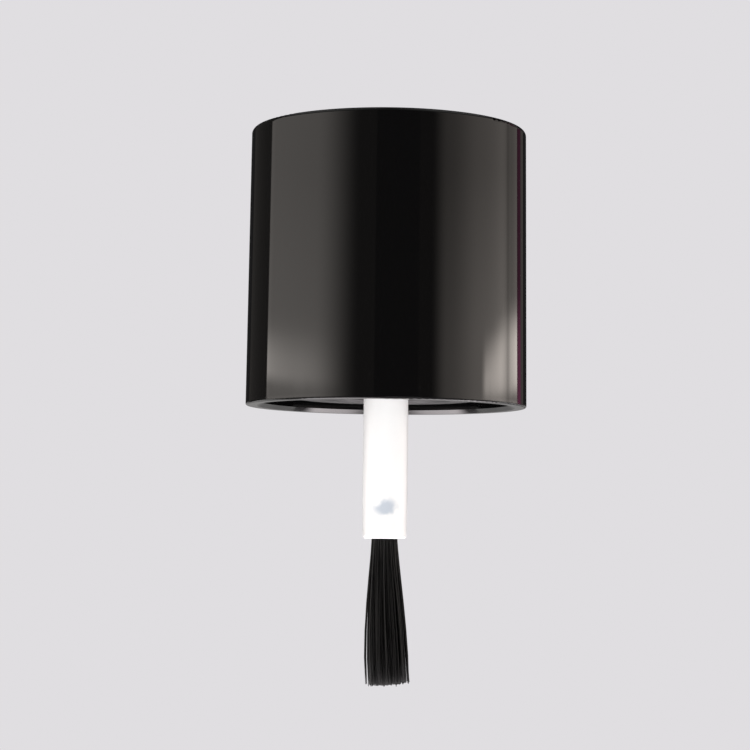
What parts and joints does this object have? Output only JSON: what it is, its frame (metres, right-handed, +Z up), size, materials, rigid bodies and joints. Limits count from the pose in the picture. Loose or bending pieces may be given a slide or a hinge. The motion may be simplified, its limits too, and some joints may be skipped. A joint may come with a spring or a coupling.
{
  "type": "nail polish bottle cap with brush",
  "caption": "Glossy black round screw cap for a nail polish bottle, with a white plastic stem and a short tuft of black bristles that bends.",
  "frame": {"origin": "centre of the cap's open rim, on the cap's axis", "axes": "+Z up along the cap's axis towards its closed top, so the stem and bristles point along -Z; X runs along the flat anchor that holds the bristles, and Y is across it"},
  "size_m": [0.028, 0.028, 0.0554],
  "materials": {
    "gloss_black": "high gloss, moulded",
    "matte_black": "satin, moulded",
    "white_stem": "smooth, slightly translucent",
    "anchor_metal": "drawn strip",
    "black_bristle": "satin nylon filament"
  },
  "bodies": {
    "handle": {"outer_cap": "gloss_black", "inner_closure": "matte_black", "brush_stem": "white_stem", "tuft_anchor": "anchor_metal", "tuft_root": "black_bristle"},
    "tuft": {"bristle_tuft": "black_bristle"}
  },
  "joints": [
    {"name": "tuft_bend", "type": "hinge", "parent": "handle", "child": "tuft", "pos_m": [0, 0, -0.01456], "axis": [0, 1, 0], "range_deg": [-30, 30], "stiffness_Nm_per_rad": 0.0015}
  ]
}
